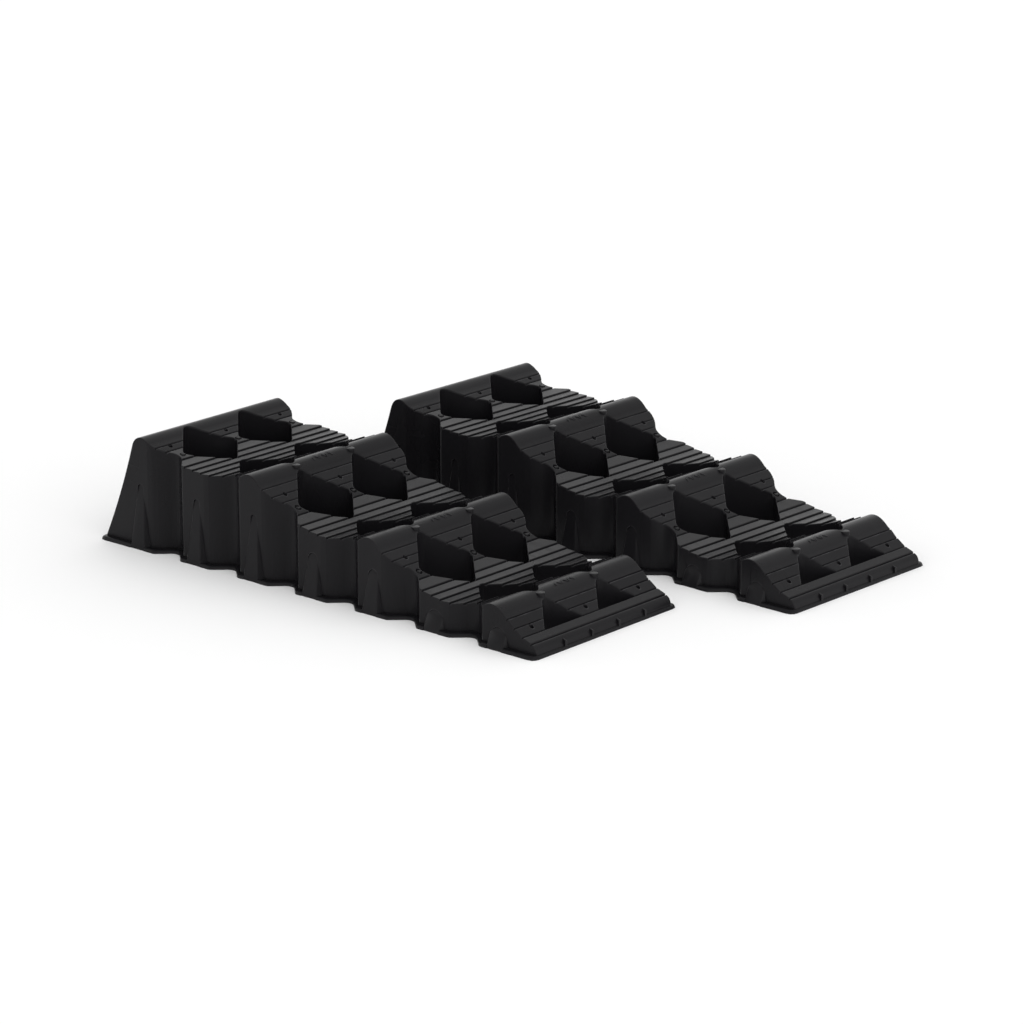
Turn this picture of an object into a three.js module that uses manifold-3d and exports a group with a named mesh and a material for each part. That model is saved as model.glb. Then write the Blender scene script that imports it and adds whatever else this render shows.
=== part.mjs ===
// A pair of three-step wheel levelling ramps for a caravan or motorhome.
// Millimetres, +Z up. X runs along the ramps towards the low end, Y across them.
// The origin is on the ground, in the middle of the pair's footprint.
// Each ramp is one moulding: a stepped tread over a lattice of open diamond pockets,
// corrugated side walls with sloping niches, and a thin flange round the foot.

import * as THREE from 'three';
import { mergeVertices } from 'three/addons/utils/BufferGeometryUtils.js';
import Module from 'manifold-3d';

const wasm = await Module();
wasm.setup();

// ---- one ramp, in its own frame: X = 0 at mid length, Y = 0 on its centre line ----

const LENGTH = 564;                 // over the foot flange
const PITCH = 77;                   // diamond lattice along X; a step is two of these
const STEP = 2 * PITCH;
const COLUMN = 76;                  // diamond lattice along Y
const WALL_Y = 96.5;                // outer face of the side walls
const WALL = 4;                     // thickness of the moulding

const FIRST_POCKET_X = -190;        // centre of the rearmost pockets
const POCKET_ROWS = 6;
const POCKET_HALF = { x: 37, y: 37.2 };
const POCKET_ROUND = 8;
const FRONT_POCKET_END = 262;       // the front pockets are cut short here
const FRONT_POCKET_END_ROUND = 3;
const HOLLOW_HALF = 31.5;           // the diamond hollows under the tread
const HOLLOW_SIDE_Y = 91.5;         // they stop this far from the centre line

// Side profile
const STEP_RISE = 30.7;
const CREST_X = [-79.5, 74.5, 226];
const CREST_Z = [103, 72.3, 40.8];
const BACK_CREST = { x: -226.5, z: 112 };
const CREST_LEAD_X = -233.5;        // a crest's place one step behind the first of CREST_X
const CRADLE_LOW = { after: 105.5, z: 91.4 };
const CRADLE_FALL = [0.0015, 0.00335, 0.00335];   // how fast each cradle falls to its lowest line
const CRADLE_CLIMB = 0.0081;
const FIRST_RIB = 65.5;             // from the crest behind
const RIB_PITCH = 11;
const RIBS = 7;
const RIB_HALF = 0.6;               // half the step down over a rib
const LINE_HALF = 0.35;             // the same over the lines across the slopes
// Lines across a slope: how far ahead of its crest and below it
const MIDDLE_SLOPE = [[15.6, 11.4], [25.7, 17.6], [33.6, 22.6]];
const FRONT_SLOPE = [[17.2, 10.6], [25.6, 17.8], [35.4, 24.2]];
const BACK_SLOPE = [[17, 7.8], [25, 11.4]];
const BACK_SLOPE_FOOT = [44, 16];
const SLOPE_FOOT = [50.7, 32.2];
const FRONT_FOOT = [45.8, 28.2];
// The line behind a crest and the start of its curve: how far behind it and below it
const CREST_BACK = [15.5, 4.4];
const CREST_START = [9, 2];
// Curves over the crests: from the crest to the handle and to the end
const MIDDLE_CREST = { handle: [1.5, 4], end: [13, -9.3] };
const FRONT_CREST = { handle: [2.5, 3.8], end: [14.5, -8.4] };
const NOSE_HANDLE = [53, -30.5];
// Curves up the back face and over the back crest, handle and end of each
const BACK_FACE = [[-256, 48], [-239, 101]];
const BACK_RISE = [[-236, 111.8], [BACK_CREST.x, BACK_CREST.z]];
const BACK_FALL = [[-222, 111.4], [-215, 107]];

// Foot flange
const FLANGE_Y = 103.5;
const FLANGE_THICK = 3.4;
const FLANGE_END = 2;               // how far it stands out at the two ends

// Notches in the side walls and in the flange, between panels
const WALL_NOTCH = { shift: 0, mouth: 19, floor: 5, depth: 14.5, soft: 9, crisp: 1.8, foot: 4.5, end: 3 };
const FLANGE_NOTCH = {
  shift: 3, mouth: 18.5, floor: 3.5, depth: 14, soft: 2, crisp: 2.5, foot: 3.5, end: 8,
};

// Sloping niches in the side walls: sunk under an arch at the top, proud of the wall at the foot
const NICHE_TOP = [65, 65, 65, 43, 43, 20.5, 20.5];
const NICHE_ARCH = [4, 4, 4, 6, 6, 9.5, 9.5];
const NICHE_ARCH_SIDES = 6;
const NICHE_FOOT_HALF = 9.5;
const NICHE_SUNK = 2.2;
const NICHE_FOOT_IN = 0.6;          // its foot stays this far inside the flange
const NICHE_FLARE = 1.45;           // its backing is wider than its face by this
const NICHE_REACH = 20;             // each way, clear of the widest backing
const NICHE_SPARE = 3;              // cutting tools reach this far past it

// Small features
const BOSS_RADIUS = 4.4;
const BOSS_DROP = 1.4;              // its top below the crest
const PIN_RADIUS = 2.3;
const PIN_TOP = [98.8, 75.6, 44.9];
const PIN_OFFSET = 0.7;
const ROOT = 10;                    // bosses and pins start this far down in the moulding
const HOLE_RADIUS = 2.4;
const SLOPES = 4;
const HOLE_SETBACK = 16.5;          // behind a pocket's centre
const NOSE_RIB = { back: 268, front: 281, thick: 2.2, high: 9 };

// ---- how the pair stands ----

const PAIR_OFFSET = { x: 97.4, y: 262.8 };
const RIGHT_TURN = THREE.MathUtils.degToRad(-1.15);

// ---- places worked out from them ----

const BACK_X = -LENGTH / 2 + FLANGE_END;
const NOSE_X = LENGTH / 2 - FLANGE_END;
const FIRST_PANEL_X = FIRST_POCKET_X - PITCH / 2;
const PANELS = POCKET_ROWS + 1;
const COLUMNS_Y = [-COLUMN, 0, COLUMN];
const POCKETS_Y = [-COLUMN / 2, COLUMN / 2];
const BELOW = -1;                   // cutting tools start under the ground
const TALL = 130;                   // and end above the ramp

// ---- helpers ----

const at = (x, y) => new THREE.Vector2(x, y);
const add = (solids) => solids.reduce((sum, next) => sum.add(next));
const numbers = (count) => [...Array(count).keys()];

// A closed three.js geometry as a manifold-3d solid.
function solid(geometry) {
  geometry.deleteAttribute('normal');
  geometry.deleteAttribute('uv');
  const merged = mergeVertices(geometry, 1e-4);
  return new wasm.Manifold(new wasm.Mesh({
    numProp: 3,
    vertProperties: merged.attributes.position.array,
    triVerts: new Uint32Array(merged.index.array),
  }));
}

// A manifold-3d solid as a three.js geometry.
function geometryOf(manifold) {
  const mesh = manifold.getMesh();
  const geometry = new THREE.BufferGeometry();
  geometry.setAttribute('position', new THREE.BufferAttribute(mesh.vertProperties, 3));
  geometry.setIndex(new THREE.BufferAttribute(mesh.triVerts, 1));
  return geometry;
}

// A plan outline raised from z0 to z1.
function prism(shape, z0, z1) {
  const options = { depth: z1 - z0, bevelEnabled: false, curveSegments: 3 };
  return solid(new THREE.ExtrudeGeometry(shape, options).translate(0, 0, z0));
}

// A side outline (X, Z) carried across the ramp, half its width to each side.
function acrossRamp(shape, halfWidth) {
  const options = { depth: 2 * halfWidth, bevelEnabled: false, curveSegments: 4 };
  const geometry = new THREE.ExtrudeGeometry(shape, options);
  return solid(geometry.rotateX(Math.PI / 2).translate(0, halfWidth, 0));
}

// An upright round post from z0 to z1.
function post(x, y, z0, z1, radius, sides = 10) {
  const geometry = new THREE.CylinderGeometry(radius, radius, z1 - z0, sides);
  return solid(geometry.rotateX(Math.PI / 2).translate(x, y, (z0 + z1) / 2));
}

// A closed polygon; each corner is rounded over a length of its own, which may be 0.
function roundedShape(corners) {
  const shape = new THREE.Shape();
  corners.forEach(({ point, round }, i) => {
    if (round === 0) {
      if (i === 0) shape.moveTo(point.x, point.y);
      else shape.lineTo(point.x, point.y);
      return;
    }
    const before = corners.at(i - 1).point;
    const after = corners[(i + 1) % corners.length].point;
    const start = point.clone().add(before.clone().sub(point).setLength(round));
    const end = point.clone().add(after.clone().sub(point).setLength(round));
    if (i === 0) shape.moveTo(start.x, start.y);
    else shape.lineTo(start.x, start.y);
    shape.quadraticCurveTo(point.x, point.y, end.x, end.y);
  });
  shape.closePath();
  return shape;
}

// ---- plan outlines ----

// A diamond about (x, y).
function diamond(x, y, halfX, halfY, round) {
  const corners = [at(x - halfX, y), at(x, y - halfY), at(x + halfX, y), at(x, y + halfY)];
  return roundedShape(corners.map((point) => ({ point, round })));
}

// The rear part of a pocket centred on (x, y), cut off square in front.
function frontPocket(x, y) {
  const halfCut = POCKET_HALF.y * (1 - (x - FRONT_POCKET_END) / POCKET_HALF.x);
  const end = (side) => ({ point: at(FRONT_POCKET_END, y + side * halfCut), round: FRONT_POCKET_END_ROUND });
  return roundedShape([{ point: at(x - POCKET_HALF.x, y), round: POCKET_ROUND }, end(-1), end(1)]);
}

// The ramp seen from above: straight sides with one notch beside each row of pockets.
function plan(sideY, endX, notch) {
  const side = numbers(POCKET_ROWS).flatMap((row) => {
    const x = FIRST_POCKET_X + row * PITCH + notch.shift;
    return [
      { point: at(x - notch.mouth, -sideY), round: notch.soft },
      { point: at(x - notch.floor, -sideY + notch.depth), round: notch.foot },
      { point: at(x + notch.floor, -sideY + notch.depth), round: notch.foot },
      { point: at(x + notch.mouth, -sideY), round: notch.crisp },
    ];
  });
  const end = (x) => ({ point: at(x, -sideY), round: notch.end });
  const near = [end(-endX), ...side, end(endX)];
  const far = near.map(({ point, round }) => ({ point: at(point.x, -point.y), round })).reverse();
  return roundedShape([...near, ...far]);
}

// ---- side outlines ----

// Height of cradle i's mean line, a distance behind or ahead of its crest.
function cradleHeight(i, fromCrest) {
  const away = fromCrest - CRADLE_LOW.after;
  const rate = away < 0 ? CRADLE_FALL[i] : CRADLE_CLIMB;
  return CRADLE_LOW.z - i * STEP_RISE + rate * away * away;
}

// The tread's outline over the whole ramp, with or without its ribs and lines.
function treadShape(ribbed) {
  const shape = new THREE.Shape();
  const step = (x, z, half) => {
    shape.lineTo(x, ribbed ? z + half : z);
    if (ribbed) shape.lineTo(x, z - half);
  };
  const cradle = (i) => {
    for (const rib of numbers(RIBS)) {
      const along = FIRST_RIB + rib * RIB_PITCH;
      step(CREST_LEAD_X + i * STEP + along, cradleHeight(i, along), RIB_HALF);
    }
  };
  const slope = (x, z, lines, foot) => {
    for (const [ahead, below] of lines) step(x + ahead, z - below, LINE_HALF);
    step(x + foot[0], z - foot[1], RIB_HALF);
  };
  const curve = ([handle, end]) => shape.quadraticCurveTo(...handle, ...end);
  const crest = (x, z, { handle, end }) => {
    step(x - CREST_BACK[0], z - CREST_BACK[1], LINE_HALF);
    shape.lineTo(x - CREST_START[0], z - CREST_START[1]);
    curve([[x + handle[0], z + handle[1]], [x + end[0], z + end[1]]]);
  };
  shape.moveTo(BACK_X, 0);
  [BACK_FACE, BACK_RISE, BACK_FALL].forEach(curve);
  slope(BACK_CREST.x, BACK_CREST.z, BACK_SLOPE, BACK_SLOPE_FOOT);
  cradle(0);
  CREST_X.slice(0, 2).forEach((x, i) => {
    crest(x, CREST_Z[i], MIDDLE_CREST);
    slope(x, CREST_Z[i], MIDDLE_SLOPE, SLOPE_FOOT);
    cradle(i + 1);
  });
  const [x, z] = [CREST_X[2], CREST_Z[2]];
  crest(x, z, FRONT_CREST);
  slope(x, z, FRONT_SLOPE, FRONT_FOOT);
  curve([[x + NOSE_HANDLE[0], z + NOSE_HANDLE[1]], [NOSE_X, 0]]);
  shape.closePath();
  return shape;
}

// The same outline a wall's thickness inside, for the hollows under the tread.
function hollowShape() {
  const outline = treadShape(false).getPoints(2).slice(0, -1);
  const inner = outline.map((point, i) => {
    const before = outline[Math.max(i - 1, 0)];
    const after = outline[Math.min(i + 1, outline.length - 1)];
    const along = after.clone().sub(before).normalize();
    return at(point.x + along.y * WALL, point.y - along.x * WALL - RIB_HALF);
  });
  inner[0].y = BELOW;
  inner[inner.length - 1].y = BELOW;
  return new THREE.Shape(inner);
}

// ---- one ramp ----

// An arch seen from the side, its foot on the ground. It widens by the flare.
function arch(panel, flare) {
  const radius = NICHE_ARCH[panel];
  const rise = NICHE_TOP[panel] - radius;
  const lean = Math.atan2(NICHE_FOOT_HALF - radius, rise);
  const turn = (Math.PI - 2 * lean) / NICHE_ARCH_SIDES;
  const turns = numbers(NICHE_ARCH_SIDES + 1).map((step) => lean + step * turn);
  const round = turns.map((angle) => (
    at(flare * radius * Math.cos(angle), rise + radius * Math.sin(angle))
  ));
  const foot = flare * NICHE_FOOT_HALF;
  return new THREE.Shape([at(-foot, 0), at(foot, 0), ...round]);
}

// The space between a panel's two sloping faces, or a little inside them.
function betweenFaces(panel, inset) {
  const foot = FLANGE_Y - NICHE_FOOT_IN - inset;
  const lean = (FLANGE_Y - NICHE_FOOT_IN - WALL_Y + NICHE_SUNK) / NICHE_TOP[panel];
  const high = NICHE_TOP[panel] + NICHE_SPARE;
  const head = foot - lean * high;
  const outline = new THREE.Shape([at(-foot, 0), at(foot, 0), at(head, high), at(-head, high)]);
  return acrossRamp(outline, NICHE_REACH).rotate([0, 0, 90]);
}

// For each panel, what is cut from both side walls and what then backs the sloping faces.
function niches() {
  return numbers(PANELS).map((panel) => {
    const x = FIRST_PANEL_X + panel * PITCH;
    const cut = acrossRamp(arch(panel, 1), FLANGE_Y + NICHE_SPARE).subtract(betweenFaces(panel, WALL / 10));
    const backing = acrossRamp(arch(panel, NICHE_FLARE), FLANGE_Y).intersect(betweenFaces(panel, 0));
    return { cut: cut.translate([x, 0, 0]), backing: backing.translate([x, 0, 0]) };
  });
}

function bosses() {
  const crests = [BACK_CREST.z, ...CREST_Z];
  return crests.flatMap((z, i) => {
    const x = FIRST_PANEL_X + i * STEP;
    return POCKETS_Y.map((y) => post(x, y, z - ROOT, z - BOSS_DROP, BOSS_RADIUS));
  });
}

function pins() {
  return PIN_TOP.flatMap((top, i) => {
    const x = FIRST_POCKET_X + i * STEP + PIN_OFFSET;
    return COLUMNS_Y.map((y) => post(x, y, top - ROOT, top, PIN_RADIUS, 8));
  });
}

function noseRibs() {
  return [-1.5, -0.5, 0.5, 1.5].map((place) => {
    const { back, front, thick, high } = NOSE_RIB;
    const box = new THREE.BoxGeometry(front - back, thick, high);
    return solid(box.translate((back + front) / 2, place * COLUMN / 2, high / 2));
  });
}

function pockets() {
  const whole = numbers(POCKET_ROWS).flatMap((row) => POCKETS_Y.map((y) => (
    diamond(FIRST_POCKET_X + row * PITCH, y, POCKET_HALF.x, POCKET_HALF.y, POCKET_ROUND)
  )));
  const front = POCKETS_Y.map((y) => frontPocket(FIRST_POCKET_X + POCKET_ROWS * PITCH, y));
  return [...whole, ...front].map((shape) => prism(shape, BELOW, TALL));
}

// Diamond cells open from below, between the pockets and behind the last of them.
function hollows() {
  const under = acrossRamp(hollowShape(), HOLLOW_SIDE_Y);
  const cell = (x, y) => prism(diamond(x, y, HOLLOW_HALF, HOLLOW_HALF, 0), BELOW, TALL);
  const cells = numbers(PANELS).flatMap((panel) => (
    COLUMNS_Y.map((y) => cell(FIRST_PANEL_X + panel * PITCH, y))
  ));
  const behindY = [-1.5, -0.5, 0.5, 1.5].map((place) => place * COLUMN);
  const behind = behindY.map((y) => cell(FIRST_POCKET_X - PITCH, y));
  return add([...cells, ...behind]).intersect(under);
}

function slopeHoles() {
  return numbers(SLOPES).flatMap((i) => {
    const x = FIRST_POCKET_X - HOLE_SETBACK + i * STEP;
    return COLUMNS_Y.map((y) => post(x, y, BELOW, TALL, HOLE_RADIUS, 6));
  });
}

function ramp() {
  const walls = prism(plan(WALL_Y, LENGTH / 2, WALL_NOTCH), 0, TALL);
  const block = walls.intersect(acrossRamp(treadShape(true), WALL_Y + 1));
  const flange = prism(plan(FLANGE_Y, LENGTH / 2, FLANGE_NOTCH), 0, FLANGE_THICK);
  const sides = niches();
  const body = add([block, flange]).subtract(add(sides.map(({ cut }) => cut)));
  const backings = sides.map(({ backing }) => backing);
  const moulding = add([body, ...backings, ...bosses(), ...pins(), ...noseRibs()]);
  return moulding.subtract(add([...pockets(), hollows(), ...slopeHoles()]));
}

// ---- the pair ----

const pair = new THREE.Group();

function place(name, side, turn) {
  const colour = new THREE.MeshStandardMaterial({ color: 0x232225, roughness: 0.45, metalness: 0 });
  const mesh = new THREE.Mesh(geometryOf(ramp()), colour);
  mesh.name = name;
  mesh.position.set(side * PAIR_OFFSET.x / 2, side * PAIR_OFFSET.y / 2, 0);
  mesh.rotation.z = turn;
  pair.add(mesh);
}

place('left_ramp', -1, 0);
place('right_ramp', 1, RIGHT_TURN);

// The turned ramp reaches a little further, so the footprint is centred again.
const footprint = new THREE.Box3().setFromObject(pair, true).getCenter(new THREE.Vector3());
pair.position.set(-footprint.x, -footprint.y, 0);

export default pair;
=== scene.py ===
"""A pair of three-step wheel levelling ramps, moulded in satin black plastic.

Each ramp is drawn in millimetres in its own frame, X = 0 at mid length and running to the low
end, Y = 0 on its centre line, Z = 0 on the ground, and is then placed on its CAD node.
"""

import math

import bmesh
import bpy
import numpy as np
from mathutils import Matrix, Vector, geometry


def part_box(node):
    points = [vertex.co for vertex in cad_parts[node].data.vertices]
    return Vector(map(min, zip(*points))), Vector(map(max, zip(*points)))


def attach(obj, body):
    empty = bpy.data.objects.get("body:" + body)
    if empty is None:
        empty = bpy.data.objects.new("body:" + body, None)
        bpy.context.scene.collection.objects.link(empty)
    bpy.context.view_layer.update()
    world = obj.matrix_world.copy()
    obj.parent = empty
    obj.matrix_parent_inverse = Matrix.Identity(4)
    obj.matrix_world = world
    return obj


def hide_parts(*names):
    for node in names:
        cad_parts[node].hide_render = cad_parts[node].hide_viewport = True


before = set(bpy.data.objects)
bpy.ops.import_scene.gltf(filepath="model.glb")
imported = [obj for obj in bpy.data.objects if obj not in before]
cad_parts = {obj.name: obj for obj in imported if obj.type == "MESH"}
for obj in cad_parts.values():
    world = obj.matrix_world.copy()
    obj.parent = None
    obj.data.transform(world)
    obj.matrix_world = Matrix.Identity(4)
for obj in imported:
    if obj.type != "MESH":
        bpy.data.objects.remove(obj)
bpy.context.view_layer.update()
MM = 0.001

# ---- one ramp ----

LENGTH = 564                    # over the foot flange
PITCH = 77                      # diamond lattice along X; a step is two of these
STEP = 2 * PITCH
COLUMN = 76                     # diamond lattice along Y
WALL_Y = 96.5                   # outer face of the side walls
WALL = 4                        # thickness of the moulding

FIRST_POCKET_X = -190           # centre of the rearmost pockets
POCKET_ROWS = 6
POCKET_HALF = (37, 37.2)
POCKET_ROUND = 8
FRONT_POCKET_END = 262          # the front pockets are cut short here
FRONT_POCKET_END_ROUND = 3
HOLLOW_HALF = 34                # the diamond hollows under the tread
HOLLOW_ROUND = 4
HOLLOW_SIDE_Y = 91.5            # they stop this far from the centre line

# Side profile
STEP_RISE = 30.7
CREST_X = (-79.5, 74.5, 226)
CREST_Z = (103, 72.3, 40.8)
BACK_CREST = (-226.5, 112)
CREST_LEAD_X = -233.5           # a crest's place one step behind the first of CREST_X
CRADLE_LOW = (105.5, 91.4)      # lowest line of the first cradle: behind its crest, height
CRADLE_FALL = (0.0015, 0.00335, 0.00335)    # how fast each cradle falls to its lowest line
CRADLE_CLIMB = 0.0081
FIRST_RIB = 65.5                # from the crest behind
RIB_PITCH = 11
RIBS = 7
RIB_HALF = 0.6                  # half the step down over a rib
LINE_HALF = 0.35                # the same over the lines across the slopes
# Lines across a slope: how far ahead of its crest and below it
BACK_SLOPE = ((17, 7.8), (25, 11.4))
BACK_SLOPE_FOOT = (44, 16)
MIDDLE_SLOPE = ((15.6, 11.4), (25.7, 17.6), (33.6, 22.6))
MIDDLE_SLOPE_FOOT = (50.7, 32.2)
FRONT_SLOPE = ((17.2, 10.6), (25.6, 17.8), (35.4, 24.2))
FRONT_SLOPE_FOOT = (45.8, 28.2)
# The line behind a crest and the start of its curve: how far behind it and below it
CREST_BACK = (15.5, 4.4)
CREST_START = (9, 2)
# Curves over the crests: from the crest to the handle and to the end
MIDDLE_CREST = ((1.5, 4), (13, -9.3))
FRONT_CREST = ((2.5, 3.8), (14.5, -8.4))
NOSE_HANDLE = (53, -30.5)
# Curves up the back face and over the back crest, handle and end of each
BACK_FACE = ((-256, 48), (-239, 101))
BACK_RISE = ((-236, 111.8), BACK_CREST)
BACK_FALL = ((-222, 111.4), (-215, 107))
GROOVE_DEPTH = 1                # under the foot of a rib or a line
GROOVE_WIDTH = 1.4
GROOVE_LEAN = 0.15              # each side of a groove leans out by this
TIP_ROUND = 0.45
GROOVE_ROUND = 0.2

RIM = 0.7                       # radius on the edges of the tread
SUPPORT = 0.7                   # flat faces keep an edge this far from a rounded one
LONG_SIDE = 4 * SUPPORT         # shorter sides go without

# Foot flange
FLANGE_Y = 103.5                # its outer edge
FLANGE_THICK = 3.4
FLANGE_RIM = 3                  # radius on its top edge
FLANGE_END = 2                  # how far it stands out at the two ends

# Notches in the side walls and in the flange, between panels
WALL_NOTCH = dict(shift=0, mouth=19, floor=5, depth=14.5, soft=9, crisp=1.8, foot=4.5, end=3)
FLANGE_NOTCH = dict(shift=3, mouth=18.5, floor=3.5, depth=14, soft=2, crisp=2.5, foot=3.5, end=8)

# Sloping niches in the side walls: sunk under an arch at the top, proud of the wall at the foot
NICHE_TOP = (65, 65, 65, 43, 43, 20.5, 20.5)
NICHE_ARCH = (4, 4, 4, 6, 6, 9.5, 9.5)
NICHE_ARCH_SIDES = 8
NICHE_FOOT_HALF = 9.5
NICHE_SUNK = 1.5
NICHE_FOOT_IN = 0.6             # its foot stays this far inside the flange
NICHE_EDGE_DEEP = 0.5           # its face's edge is eased back by this
NICHE_EDGE_WIDE = 0.8           # over this width
NICHE_BACK_Y = 92.3             # its backing reaches into the wall this far
NICHE_FLARE = 1.45              # the backing is this many times as wide as the face
NICHE_SPARE = 5                 # cutting tools reach this far past the flange

# Small features
PEG_EDGE = 0.5                  # the eased edge of every round post
PEG_EDGE_MIDDLE = 0.15          # how far in from the corner the middle of that edge is
BOSS_RADIUS = 4.4
BOSS_DROP = 1.4                 # its top below the crest
BOSS_ROOT = 12                  # its foot below the crest
PIN_RADIUS = 2.3
PIN_WELL_RADIUS = 3.3
PIN_WELL_DEPTH = 1.8
PIN_PROUD = 1.2
PIN_ROOT = 10                   # its foot below the tread
PIN_OFFSET = 0.7                # ahead of a pocket's centre
PIN_ROWS = 3
HOLE_RADIUS = 2.4
HOLE_SIDES = 16
HOLE_SETBACK = 16.5             # behind a pocket's centre
HOLE_ROWS = 4
NOSE_RIB = dict(back=268, front=281, thick=2.2, back_high=13, front_high=8, rim=0.6)
MARK = dict(count=3, pitch=9, half=4, long=4, thick=3, proud=0.6, behind=1, root=6)

# How the second ramp stands beside the first
RIGHT_TURN = math.radians(-1.15)

# Looks
SHARP_ANGLE = math.radians(32)  # sharper edges than this are shaded crisp
PLASTIC_DARK = (0.0070, 0.0066, 0.0076, 1)
PLASTIC_LIGHT = (0.0086, 0.0082, 0.0094, 1)
# painted highlight: outer edges are coloured this pale to stand in for light catching them
PLASTIC_EDGE_HIGHLIGHT = (0.045, 0.044, 0.047, 1)
PLASTIC_SPECULAR = 0.115
PLASTIC_ROUGHNESS = (0.26, 0.33)
SCUFF_ROUGHNESS = 0.12          # added to it
EDGE_HIGHLIGHT_WIDTH = 0.001               # metres; width of the painted highlight along the outer edges
GRAIN_HEIGHT = 0.00012          # metres
STUDIO_LOW = 1.3                # strength of the studio's light near the horizon
STUDIO_HIGH = 0.7               # and overhead
FLOOR_HALF = 20                 # metres

# Camera
LENS = 141.9
CAMERA_TARGET = (0.0235, -0.0268, 0.05)
CAMERA_AZIMUTH = math.radians(40.97)        # round from -Y towards +X
CAMERA_ELEVATION = math.radians(17.03)
CAMERA_DISTANCE = 3.887

# ---- places worked out from them ----

BACK_X = -LENGTH / 2 + FLANGE_END
NOSE_X = LENGTH / 2 - FLANGE_END
FIRST_PANEL_X = FIRST_POCKET_X - PITCH / 2
PANELS = POCKET_ROWS + 1
COLUMNS_Y = (-COLUMN, 0, COLUMN)
POCKETS_Y = (-COLUMN / 2, COLUMN / 2)
BELOW = -1                      # cutting tools start under the ground
TALL = 130                      # and end above the ramp
SAME_POINT = 1e-3
SAME_CORNER = 1e-5              # when triangulating
NUDGE = 1e-6                    # keeps a run of places rising

# ---- outlines ----


def point_between(a, b, reach):
    """The point that far from a on the way to b."""
    a, b = np.array(a, float), np.array(b, float)
    return a + (b - a) * reach / np.linalg.norm(b - a)


def rounded(corners, steps=3):
    """Points of a polygon of (point, round) corners. A round is how far along each side it starts."""
    points = []
    for i, (corner, reach) in enumerate(corners):
        if reach == 0:
            points.append(np.array(corner, float))
            continue
        before = corners[i - 1][0]
        after = corners[(i + 1) % len(corners)][0]
        start, end = point_between(corner, before, reach), point_between(corner, after, reach)
        middle = np.array(corner, float)
        if math.dist(corner, before) > 2 * reach + LONG_SIDE:
            points.append(point_between(corner, before, reach + SUPPORT))
        for t in np.linspace(0, 1, steps + 1):
            points.append((1 - t) ** 2 * start + 2 * t * (1 - t) * middle + t * t * end)
        if math.dist(corner, after) > 2 * reach + LONG_SIDE:
            points.append(point_between(corner, after, reach + SUPPORT))
    points = np.array(points)
    return points[np.linalg.norm(points - np.roll(points, 1, 0), axis=1) > SAME_POINT]


def diamond(x, y, half_x, half_y, reach):
    """A diamond about (x, y) with rounded corners."""
    corners = [(x - half_x, y), (x, y - half_y), (x + half_x, y), (x, y + half_y)]
    return rounded([(corner, reach) for corner in corners], steps=5)


def half_diamond(x, y, half_x, half_y, reach, end_x, end_reach):
    """The rear part of a diamond about (x, y), cut off square at end_x."""
    half_cut = half_y * (1 - (x - end_x) / half_x)
    ends = [(end_x, y - half_cut), (end_x, y + half_cut)]
    return rounded([((x - half_x, y), reach), *((end, end_reach) for end in ends)], steps=5)


def plan(side_y, end_x, notch):
    """The ramp from above: straight sides with one notch beside each row of pockets."""
    near = [((-end_x, -side_y), notch["end"])]
    for row in range(POCKET_ROWS):
        x = FIRST_POCKET_X + row * PITCH + notch["shift"]
        floor_y = -side_y + notch["depth"]
        near += [
            ((x - notch["mouth"], -side_y), notch["soft"]),
            ((x - notch["floor"], floor_y), notch["foot"]),
            ((x + notch["floor"], floor_y), notch["foot"]),
            ((x + notch["mouth"], -side_y), notch["crisp"]),
        ]
    near.append(((end_x, -side_y), notch["end"]))
    far = [((x, -y), reach) for (x, y), reach in reversed(near)]
    return rounded(near + far)


def shifted(loop, reach):
    """The loop moved sideways to its left, which is into the material."""
    loop = np.array(loop, float)
    before, after = np.roll(loop, 1, 0), np.roll(loop, -1, 0)
    first, second = loop - before, after - loop
    first /= np.linalg.norm(first, axis=1)[:, None]
    second /= np.linalg.norm(second, axis=1)[:, None]
    normal = np.stack([-(first + second)[:, 1], (first + second)[:, 0]], 1)
    normal /= np.linalg.norm(normal, axis=1)[:, None]
    across = np.stack([-first[:, 1], first[:, 0]], 1)
    return loop + reach * normal / (normal * across).sum(1)[:, None]


# ---- side profile ----


def cradle_height(i, from_crest):
    """Height of cradle i's mean line, a distance ahead of the crest behind it."""
    away = from_crest - CRADLE_LOW[0]
    rate = CRADLE_FALL[i] if away < 0 else CRADLE_CLIMB
    return CRADLE_LOW[1] - i * STEP_RISE + rate * away * away


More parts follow.
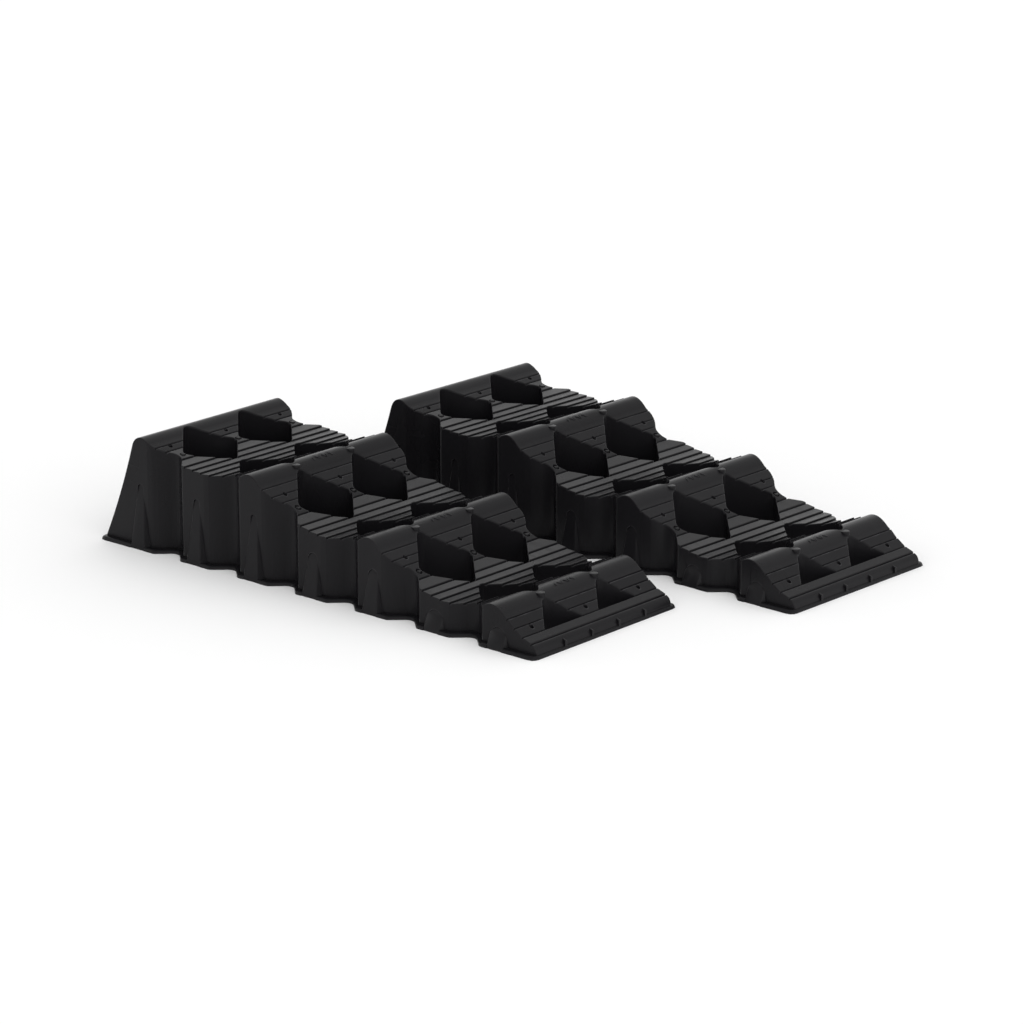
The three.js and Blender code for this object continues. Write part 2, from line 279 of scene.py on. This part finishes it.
class Profile:
    """The tread's outline, drawn from the back to the nose."""

    def __init__(self, x, z, ribbed):
        self.corners = [((x, z), 0)]
        self.ribbed = ribbed

    def line(self, x, z):
        self.corners.append(((x, z), 0))

    def curve(self, handle, end, steps=14):
        start, handle, end = np.array(self.corners[-1][0]), np.array(handle), np.array(end)
        for t in np.linspace(0, 1, steps + 1)[1:]:
            place = (1 - t) ** 2 * start + 2 * t * (1 - t) * handle + t * t * end
            self.corners.append((tuple(place), 0))

    def step(self, x, z, half):
        """A step down through (x, z), with a narrow groove along its foot."""
        if not self.ribbed:
            self.line(x, z)
            return
        floor_z = z - half - GROOVE_DEPTH
        self.corners.append(((x, z + half), TIP_ROUND))
        self.corners.append(((x + GROOVE_LEAN, floor_z), GROOVE_ROUND))
        self.corners.append(((x + GROOVE_LEAN + GROOVE_WIDTH, floor_z), GROOVE_ROUND))
        self.corners.append(((x + 2 * GROOVE_LEAN + GROOVE_WIDTH, z - half), GROOVE_ROUND))

    def crest(self, x, z, handle, end):
        """The line behind the crest at (x, z) and the curve over it."""
        self.step(x - CREST_BACK[0], z - CREST_BACK[1], LINE_HALF)
        self.line(x - CREST_START[0], z - CREST_START[1])
        self.curve((x + handle[0], z + handle[1]), (x + end[0], z + end[1]))

    def slope(self, x, z, lines, foot):
        """The lines down the slope ahead of the crest at (x, z), and the step at its foot."""
        for ahead, below in lines:
            self.step(x + ahead, z - below, LINE_HALF)
        self.step(x + foot[0], z - foot[1], RIB_HALF)

    def cradle(self, i):
        for rib in range(RIBS):
            along = FIRST_RIB + rib * RIB_PITCH
            self.step(CREST_LEAD_X + i * STEP + along, cradle_height(i, along), RIB_HALF)


def tread_profile(ribbed=True):
    """The tread over the whole ramp, with or without its ribs and lines."""
    profile = Profile(BACK_X, 0, ribbed)
    for handle, end in (BACK_FACE, BACK_RISE, BACK_FALL):
        profile.curve(handle, end)
    profile.slope(*BACK_CREST, BACK_SLOPE, BACK_SLOPE_FOOT)
    profile.cradle(0)
    *middle_crests, (front_x, front_z) = zip(CREST_X, CREST_Z)
    for i, (x, z) in enumerate(middle_crests):
        profile.crest(x, z, *MIDDLE_CREST)
        profile.slope(x, z, MIDDLE_SLOPE, MIDDLE_SLOPE_FOOT)
        profile.cradle(i + 1)
    profile.crest(front_x, front_z, *FRONT_CREST)
    profile.slope(front_x, front_z, FRONT_SLOPE, FRONT_SLOPE_FOOT)
    profile.curve((front_x + NOSE_HANDLE[0], front_z + NOSE_HANDLE[1]), (NOSE_X, 0))
    return rounded(profile.corners)


def inner_profile():
    """The underside of the tread: the same outline without ribs, a wall's thickness inside."""
    outline = tread_profile(ribbed=False)
    along = np.gradient(outline, axis=0)
    along /= np.linalg.norm(along, axis=1)[:, None]
    inner = outline + WALL * np.stack([along[:, 1], -along[:, 0]], 1)
    rising = np.maximum.accumulate(inner[:, 0] + np.arange(len(inner)) * NUDGE)
    return np.stack([rising, inner[:, 1] - GROOVE_DEPTH], 1)


def tread_height(x):
    """The height of the tread's surface, leaving out its ribs and lines."""
    outline = tread_profile(ribbed=False)
    return np.interp(x, outline[:, 0], outline[:, 1])


# ---- solids ----


def distance_to(loops, points):
    """How far each point is from the nearest of the loops."""
    nearest = np.full(len(points), np.inf)
    for loop in loops:
        ends = np.roll(loop, -1, 0)
        for start, side in zip(loop, ends - loop):
            away = points - start
            t = np.clip(away @ side / (side @ side), 0, 1)
            nearest = np.minimum(nearest, np.linalg.norm(away - t[:, None] * side, axis=1))
    return nearest


def inside(loop, points):
    """Which points lie inside the loop."""
    found = np.zeros(len(points), bool)
    for (ax, ay), (bx, by) in zip(loop, np.roll(loop, -1, 0)):
        if ay == by:
            continue
        spans = (ay > points[:, 1]) != (by > points[:, 1])
        found ^= spans & (points[:, 0] < (bx - ax) * (points[:, 1] - ay) / (by - ay) + ax)
    return found


def solid(outer, holes, top, foot, rim, lowest=None):
    """A closed solid on z = foot, whose top follows the (x, z) line and has rounded edges.

    The outer loop runs anticlockwise and the holes clockwise, so the material is on the left.
    """
    turns = np.radians((0, 30, 60, 90))
    reaches = [*(rim * (1 - np.cos(turns))), rim + SUPPORT] if rim else [0]
    points, edges = [], []
    for loop in [outer, *holes]:
        for reach in reaches:
            first = len(points)
            points.extend(shifted(loop, reach))
            edges.extend((first + k, first + (k + 1) % len(loop)) for k in range(len(loop)))
    low, high = outer.min(0), outer.max(0)
    for x, _ in top:
        if low[0] < x < high[0]:
            edges.append((len(points), len(points) + 1))
            points.extend([(x, low[1] - 1), (x, high[1] + 1)])
    found = geometry.delaunay_2d_cdt([Vector(p) for p in points], edges, [], 0, SAME_CORNER)
    flat = np.array([tuple(v) for v in found[0]])
    faces = np.array([list(f) for f in found[2]])
    middle = flat[faces].mean(1)
    kept = inside(outer, middle)
    for hole in holes:
        kept &= ~inside(hole, middle)
    faces = faces[kept]
    used, index = np.unique(faces, return_inverse=True)
    flat, faces = flat[used], index.reshape(-1, 3)
    height = np.interp(flat[:, 0], top[:, 0], top[:, 1])
    if rim:
        short = np.clip(rim - distance_to([outer, *holes], flat), 0, rim)
        height -= rim - np.sqrt(rim * rim - short * short)
    if lowest is not None:
        height = np.maximum(height, lowest)

    bm = bmesh.new()
    verts = [bm.verts.new((x, y, z)) for (x, y), z in zip(flat, height)]
    for a, b, c in faces:
        bm.faces.new((verts[a], verts[b], verts[c]))
    bm.normal_update()
    if sum(f.normal.z for f in bm.faces) < 0:
        bmesh.ops.reverse_faces(bm, faces=bm.faces)
    for to_foot in ([False, True] if rim else [True]):
        open_edges = [e for e in bm.edges if len(e.link_faces) == 1]
        grown = bmesh.ops.extrude_edge_only(bm, edges=open_edges)
        for v in grown["geom"]:
            if isinstance(v, bmesh.types.BMVert):
                v.co.z = foot if to_foot else max(v.co.z - SUPPORT, (v.co.z + foot) / 2)
    open_edges = [e for e in bm.edges if len(e.link_faces) == 1]
    bmesh.ops.triangle_fill(bm, edges=open_edges, use_beauty=False)
    bmesh.ops.recalc_face_normals(bm, faces=bm.faces)
    return bm


def turned(x, y, outline, sides):
    """A closed solid about an upright axis, from (radius, z) points that start and end on it."""
    bm = bmesh.new()
    angles = np.arange(sides) * 2 * math.pi / sides
    rings = []
    for radius, z in outline:
        if radius == 0:
            rings.append([bm.verts.new((x, y, z))])
            continue
        ring = [(x + radius * math.cos(a), y + radius * math.sin(a), z) for a in angles]
        rings.append([bm.verts.new(point) for point in ring])
    for low, high in zip(rings, rings[1:]):
        for k in range(sides):
            below = [low[k % len(low)], low[(k + 1) % len(low)]]
            above = [high[(k + 1) % len(high)], high[k % len(high)]]
            bm.faces.new(list(dict.fromkeys(below + above)))
    bmesh.ops.recalc_face_normals(bm, faces=bm.faces)
    return bm


def gathered(parts):
    """Several separate solids as one object to join or cut with."""
    mesh = bpy.data.meshes.new("tool")
    whole = bmesh.new()
    for part in parts:
        part.to_mesh(mesh)
        part.free()
        whole.from_mesh(mesh)
    whole.to_mesh(mesh)
    whole.free()
    tool = bpy.data.objects.new("tool", mesh)
    bpy.context.scene.collection.objects.link(tool)
    return tool


def combined(body, parts, operation):
    """The body joined with or cut by the parts."""
    tool = gathered(parts)
    change = body.modifiers.new(operation, "BOOLEAN")
    change.operation = operation
    change.solver = "MANIFOLD"
    change.object = tool
    bpy.context.view_layer.update()
    result = body.evaluated_get(bpy.context.evaluated_depsgraph_get())
    done = bpy.data.meshes.new_from_object(result)
    body.modifiers.clear()
    body.data = done
    bpy.data.objects.remove(tool)


# ---- the parts of one ramp ----


def pocket_loops():
    """The pockets from above, clockwise: whole diamonds, and cut short in front."""
    loops = []
    for y in POCKETS_Y:
        for row in range(POCKET_ROWS):
            x = FIRST_POCKET_X + row * PITCH
            loops.append(diamond(x, y, *POCKET_HALF, POCKET_ROUND)[::-1])
        front_x = FIRST_POCKET_X + POCKET_ROWS * PITCH
        ends = POCKET_ROUND, FRONT_POCKET_END, FRONT_POCKET_END_ROUND
        loops.append(half_diamond(front_x, y, *POCKET_HALF, *ends)[::-1])
    return loops


def flange():
    """The foot flange, a flat ring that reaches halfway into the walls."""
    level = np.array([(-LENGTH, FLANGE_THICK), (LENGTH, FLANGE_THICK)], float)
    inner = shifted(plan(WALL_Y, LENGTH / 2 - FLANGE_END, WALL_NOTCH), WALL / 2)
    return solid(plan(FLANGE_Y, LENGTH / 2, FLANGE_NOTCH), [inner[::-1]], level, 0, FLANGE_RIM)


def niche_outline(panel):
    """A niche's arch seen from the side, anticlockwise from its right foot."""
    top, radius = NICHE_TOP[panel], NICHE_ARCH[panel]
    lean = math.atan2(NICHE_FOOT_HALF - radius, top - radius)
    turns = np.linspace(lean, math.pi - lean, NICHE_ARCH_SIDES + 1)
    arch = [(radius * math.cos(a), top - radius + radius * math.sin(a)) for a in turns]
    return np.array([(NICHE_FOOT_HALF, 0), *arch, (-NICHE_FOOT_HALF, 0)])


def between_rings(rings):
    """A closed solid through rings of matching points, capped at both ends."""
    bm = bmesh.new()
    verts = [[bm.verts.new(point) for point in ring] for ring in rings]
    for low, high in zip(verts, verts[1:]):
        for k in range(len(low)):
            after = (k + 1) % len(low)
            bm.faces.new((low[k], low[after], high[after], high[k]))
    bm.faces.new(verts[0])
    bm.faces.new(verts[-1])
    bmesh.ops.recalc_face_normals(bm, faces=bm.faces)
    bmesh.ops.triangulate(bm, faces=bm.faces)
    return bm


def niche_face_y(panel, z):
    """How far a niche's sloping face is from the centre line at that height."""
    foot, head = FLANGE_Y - NICHE_FOOT_IN, WALL_Y - NICHE_SUNK
    return foot + (head - foot) * z / NICHE_TOP[panel]


def niche_parts(panel, side):
    """What one niche cuts out of a side wall, and the backing that it then adds."""
    centre = FIRST_PANEL_X + panel * PITCH
    outline = niche_outline(panel)

    def ring(loop, y_of):
        return [(centre + x, side * y_of(z), z) for x, z in loop]

    def face(z):
        return niche_face_y(panel, z)

    cut = between_rings([ring(outline, face), ring(outline, lambda z: FLANGE_Y + NICHE_SPARE)])
    backing = between_rings([
        ring(outline * (NICHE_FLARE, 1), lambda z: NICHE_BACK_Y),
        ring(outline, lambda z: face(z) - NICHE_EDGE_DEEP),
        ring(shifted(outline, NICHE_EDGE_WIDE), face),
    ])
    return cut, backing


def niches():
    """What all the niches cut out of the side walls, and all their backings."""
    return zip(*(niche_parts(panel, side) for panel in range(PANELS) for side in (-1, 1)))


def peg(x, y, low, high, radius, sides=24):
    """An upright round post with an eased top edge."""
    return turned(x, y, [
        (0, low),
        (radius, low),
        (radius, high - PEG_EDGE),
        (radius - PEG_EDGE_MIDDLE, high - PEG_EDGE_MIDDLE),
        (radius - PEG_EDGE, high),
        (0, high),
    ], sides)


def bosses():
    """Round bosses on the crests, in line with the pockets."""
    return [
        peg(FIRST_PANEL_X + i * STEP, y, z - BOSS_ROOT, z - BOSS_DROP, BOSS_RADIUS)
        for i, z in enumerate([BACK_CREST[1], *CREST_Z])
        for y in POCKETS_Y
    ]


def pin_places():
    """Where the pins stand, at the feet of the slopes."""
    return [(FIRST_POCKET_X + i * STEP + PIN_OFFSET, y) for i in range(PIN_ROWS) for y in COLUMNS_Y]


def pin_wells():
    """Round wells in the feet of the slopes, each with a pin standing in it."""
    return [
        peg(x, y, tread_height(x) - PIN_WELL_DEPTH, TALL, PIN_WELL_RADIUS)
        for x, y in pin_places()
    ]


def pins():
    return [
        peg(x, y, tread_height(x) - PIN_ROOT, tread_height(x) + PIN_PROUD, PIN_RADIUS)
        for x, y in pin_places()
    ]


def nose_ribs():
    """Short upright ribs across the front face."""
    half, back, front = NOSE_RIB["thick"] / 2, NOSE_RIB["back"], NOSE_RIB["front"]
    top = np.array([(back - 1, NOSE_RIB["back_high"]), (front + 1, NOSE_RIB["front_high"])])
    parts = []
    for place_y in (-1.5, -0.5, 0.5, 1.5):
        y = place_y * COLUMN / 2
        loop = np.array([(back, y - half), (front, y - half), (front, y + half), (back, y + half)])
        parts.append(solid(loop, [], top, 0, NOSE_RIB["rim"]))
    return parts


def chevron(x, y):
    """A chevron from above, with its point at (x, y) towards the back."""
    half, long, thick = MARK["half"], MARK["long"], MARK["thick"]
    return np.array([
        (x + long, y - half), (x + long + thick, y - half), (x + thick, y),
        (x + long + thick, y + half), (x + long, y + half), (x, y),
    ])


def marks():
    """Plain chevrons on the middle of each lower crest that point the way a wheel climbs."""
    top = tread_profile(ribbed=False) + (0, MARK["proud"])
    parts = []
    for x, z in zip(CREST_X, CREST_Z):
        for k in range(MARK["count"]):
            y = (k - (MARK["count"] - 1) / 2) * MARK["pitch"]
            parts.append(solid(chevron(x - MARK["behind"], y), [], top, z - MARK["root"], 0))
    return parts


def clipped(loop, axis, limit, side):
    """The part of a convex loop on one side of a line across X or Y."""
    out = []
    for a, b in zip(loop, np.roll(loop, -1, 0)):
        a_in, b_in = side * (a[axis] - limit) <= 0, side * (b[axis] - limit) <= 0
        if a_in:
            out.append(a)
        if a_in != b_in:
            out.append(a + (b - a) * (limit - a[axis]) / (b[axis] - a[axis]))
    return np.array(out)


def hollows():
    """Diamond cells open from below, between the pockets and behind the last of them."""
    centres = [(FIRST_PANEL_X + panel * PITCH, y) for panel in range(PANELS) for y in COLUMNS_Y]
    centres += [(FIRST_POCKET_X - PITCH, k * COLUMN / 2) for k in (-3, -1, 1, 3)]
    ceiling = inner_profile()
    parts = []
    for x, y in centres:
        cell = diamond(x, y, HOLLOW_HALF, HOLLOW_HALF, HOLLOW_ROUND)
        cell = clipped(clipped(cell, 1, HOLLOW_SIDE_Y, 1), 1, -HOLLOW_SIDE_Y, -1)
        cell = clipped(clipped(cell, 0, NOSE_X - WALL, 1), 0, BACK_X + WALL, -1)
        parts.append(solid(cell, [], ceiling, BELOW, 0, BELOW / 2))
    return parts


def slope_holes():
    return [
        peg(FIRST_POCKET_X - HOLE_SETBACK + i * STEP, y, BELOW, TALL, HOLE_RADIUS, HOLE_SIDES)
        for i in range(HOLE_ROWS)
        for y in COLUMNS_Y
    ]


def ramp_mesh():
    """One ramp in its own frame, in millimetres."""
    outer = plan(WALL_Y, LENGTH / 2 - FLANGE_END, WALL_NOTCH)
    body = gathered([solid(outer, pocket_loops(), tread_profile(), 0, RIM, FLANGE_THICK / 2)])
    combined(body, [flange()], "UNION")
    niche_cuts, niche_backings = niches()
    combined(body, niche_cuts, "DIFFERENCE")
    combined(body, niche_backings, "UNION")
    combined(body, pin_wells(), "DIFFERENCE")
    combined(body, bosses() + pins() + nose_ribs() + marks(), "UNION")
    combined(body, hollows(), "DIFFERENCE")
    combined(body, slope_holes(), "DIFFERENCE")
    mesh = body.data
    bpy.data.objects.remove(body)
    return mesh


def place(mesh, material, node, body, name, turn):
    """One ramp where its CAD node is."""
    low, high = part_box(node)
    middle = (low + high) / 2
    mesh = mesh.copy()
    mesh.transform(Matrix.Scale(MM, 4))
    mesh.shade_smooth()
    mesh.set_sharp_from_angle(angle=SHARP_ANGLE)
    ramp = bpy.data.objects.new(name, mesh)
    bpy.context.scene.collection.objects.link(ramp)
    ramp.matrix_world = Matrix.Translation((middle.x, middle.y, 0)) @ Matrix.Rotation(turn, 4, "Z")
    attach(ramp, body)
    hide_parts(node)
    ramp.data.materials.clear()
    ramp.data.materials.append(material)


# ---- material, floor, light and camera ----


def noise(tree, coords, scale, detail, stretch=(1, 1, 1)):
    """A noise texture in the piece's own metres. A stretch below 1 draws it out along that axis."""
    mapping = tree.nodes.new("ShaderNodeMapping")
    mapping.inputs["Scale"].default_value = stretch
    tree.links.new(coords, mapping.inputs["Vector"])
    texture = tree.nodes.new("ShaderNodeTexNoise")
    texture.inputs["Scale"].default_value = scale
    texture.inputs["Detail"].default_value = detail
    tree.links.new(mapping.outputs["Vector"], texture.inputs["Vector"])
    return texture.outputs["Fac"]


def feed(tree, value, socket):
    """Link another node's output to a socket, or set the socket to a plain value."""
    if isinstance(value, bpy.types.NodeSocket):
        tree.links.new(value, socket)
    else:
        socket.default_value = value


def ranged(tree, value, span, out):
    """The value's stretch over a span, turned into the out span."""
    spread = tree.nodes.new("ShaderNodeMapRange")
    for name, number in zip(("From Min", "From Max", "To Min", "To Max"), (*span, *out)):
        spread.inputs[name].default_value = number
    tree.links.new(value, spread.inputs["Value"])
    return spread.outputs["Result"]


def maths(tree, operation, first, second):
    node = tree.nodes.new("ShaderNodeMath")
    node.operation = operation
    feed(tree, first, node.inputs[0])
    feed(tree, second, node.inputs[1])
    return node.outputs["Value"]


def mixed(tree, factor, first, second):
    """The first colour, turning into the second as the factor rises from 0 to 1."""
    mix = tree.nodes.new("ShaderNodeMix")
    mix.data_type = "RGBA"
    feed(tree, factor, mix.inputs["Factor"])
    feed(tree, first, mix.inputs["A"])
    feed(tree, second, mix.inputs["B"])
    return mix.outputs["Result"]


def painted_edge_highlights(tree, coords):
    """A painted highlight, standing in for light catching the outer edges: 1 on an outer edge and 0
    away from it, in patches.
    """
    corner = tree.nodes.new("ShaderNodeAmbientOcclusion")
    corner.inside = True
    corner.samples = 6
    corner.inputs["Distance"].default_value = EDGE_HIGHLIGHT_WIDTH
    edges = ranged(tree, corner.outputs["AO"], (0.5, 0.85), (1, 0))
    patches = ranged(tree, noise(tree, coords, scale=90, detail=4), (0.35, 0.65), (0.2, 1))
    return maths(tree, "MULTIPLY", edges, patches)


def mould_grain(tree, coords):
    """Fine grain on slow ripples, as a bumped normal."""
    grain = noise(tree, coords, scale=1500, detail=3)
    ripple = noise(tree, coords, scale=45, detail=2, stretch=(1, 1, 0.3))
    bump = tree.nodes.new("ShaderNodeBump")
    bump.inputs["Strength"].default_value = 0.5
    bump.inputs["Distance"].default_value = GRAIN_HEIGHT
    height = maths(tree, "ADD", grain, maths(tree, "MULTIPLY", ripple, 2))
    tree.links.new(height, bump.inputs["Height"])
    return bump.outputs["Normal"]


def black_plastic():
    """Satin black polyethylene: a fine mould grain, cloudy flow marks and a pale painted highlight
    along the outer edges.
    """
    material = bpy.data.materials.new("black_plastic")
    material.use_nodes = True
    tree = material.node_tree
    shader = tree.nodes["Principled BSDF"]
    shader.inputs["Specular IOR Level"].default_value = PLASTIC_SPECULAR
    coords = tree.nodes.new("ShaderNodeTexCoord").outputs["Object"]

    flow = noise(tree, coords, scale=14, detail=3, stretch=(1, 1, 0.35))
    body = mixed(tree, ranged(tree, flow, (0.3, 0.7), (0, 1)), PLASTIC_DARK, PLASTIC_LIGHT)
    # outer edges painted pale as a highlight, in patches
    highlighted = mixed(tree, painted_edge_highlights(tree, coords), body, PLASTIC_EDGE_HIGHLIGHT)
    tree.links.new(highlighted, shader.inputs["Base Color"])

    smears = noise(tree, coords, scale=60, detail=6, stretch=(0.15, 1, 1))
    scuffs = ranged(tree, smears, (0.6, 0.78), (0, SCUFF_ROUGHNESS))
    gloss = ranged(tree, flow, (0.3, 0.7), PLASTIC_ROUGHNESS)
    tree.links.new(maths(tree, "ADD", gloss, scuffs), shader.inputs["Roughness"])
    tree.links.new(mould_grain(tree, coords), shader.inputs["Normal"])
    return material


def floor():
    """A plain white floor on z = 0."""
    mesh = bpy.data.meshes.new("floor")
    half = FLOOR_HALF
    corners = [(-half, -half, 0), (half, -half, 0), (half, half, 0), (-half, half, 0)]
    mesh.from_pydata(corners, [], [(0, 1, 2, 3)])
    ground = bpy.data.objects.new("floor", mesh)
    bpy.context.scene.collection.objects.link(ground)
    material = bpy.data.materials.new("floor")
    material.use_nodes = True
    shader = material.node_tree.nodes["Principled BSDF"]
    shader.inputs["Base Color"].default_value = (1, 1, 1, 1)
    shader.inputs["Roughness"].default_value = 0.9
    shader.inputs["Specular IOR Level"].default_value = 0
    mesh.materials.append(material)


def lights():
    """A pale studio, brighter low down around the object than overhead."""
    world = bpy.data.worlds.new("studio")
    bpy.context.scene.world = world
    world.use_nodes = True
    tree = world.node_tree
    background = tree.nodes["Background"]
    background.inputs["Color"].default_value = (1, 1, 1, 1)
    split = tree.nodes.new("ShaderNodeSeparateXYZ")
    tree.links.new(tree.nodes.new("ShaderNodeTexCoord").outputs["Generated"], split.inputs["Vector"])
    glow = ranged(tree, split.outputs["Z"], (0.2, 0.75), (STUDIO_LOW, STUDIO_HIGH))
    tree.links.new(glow, background.inputs["Strength"])
    softbox("overhead_softbox", azimuth=45, elevation=73, across=70, strength=0.34)
    softbox("front_softbox", azimuth=-22, elevation=20, across=60, strength=0.58)
    softbox("back_softbox", azimuth=126, elevation=34, across=20, strength=0.05)


def softbox(name, azimuth, elevation, across, strength):
    """A wide, distant light. Azimuth 0 is +X and 90 is +Y; across is the angle that it fills."""
    lamp = bpy.data.lights.new(name, "SUN")
    lamp.energy = strength
    lamp.angle = math.radians(across)
    holder = bpy.data.objects.new(name, lamp)
    turn, lift = math.radians(azimuth), math.radians(elevation)
    towards = Vector((math.cos(turn) * math.cos(lift), math.sin(turn) * math.cos(lift), math.sin(lift)))
    holder.rotation_euler = towards.to_track_quat("Z", "Y").to_euler()
    bpy.context.scene.collection.objects.link(holder)


def camera():
    """A long lens that looks down on the pair from beyond the left ramp's low end."""
    view = bpy.data.cameras.new("camera")
    view.lens = LENS
    view.clip_end = 100
    eye = bpy.data.objects.new("camera", view)
    back = Vector((
        math.sin(CAMERA_AZIMUTH) * math.cos(CAMERA_ELEVATION),
        -math.cos(CAMERA_AZIMUTH) * math.cos(CAMERA_ELEVATION),
        math.sin(CAMERA_ELEVATION),
    ))
    eye.location = Vector(CAMERA_TARGET) + CAMERA_DISTANCE * back
    eye.rotation_euler = back.to_track_quat("Z", "Y").to_euler()
    bpy.context.scene.collection.objects.link(eye)
    bpy.context.scene.camera = eye


shape = ramp_mesh()
plastic = black_plastic()
place(shape, plastic, "left_ramp", "left", "left_moulding", 0)
place(shape, plastic, "right_ramp", "right", "right_moulding", RIGHT_TURN)

floor()
lights()
camera()
bpy.context.scene.view_settings.view_transform = "Standard"
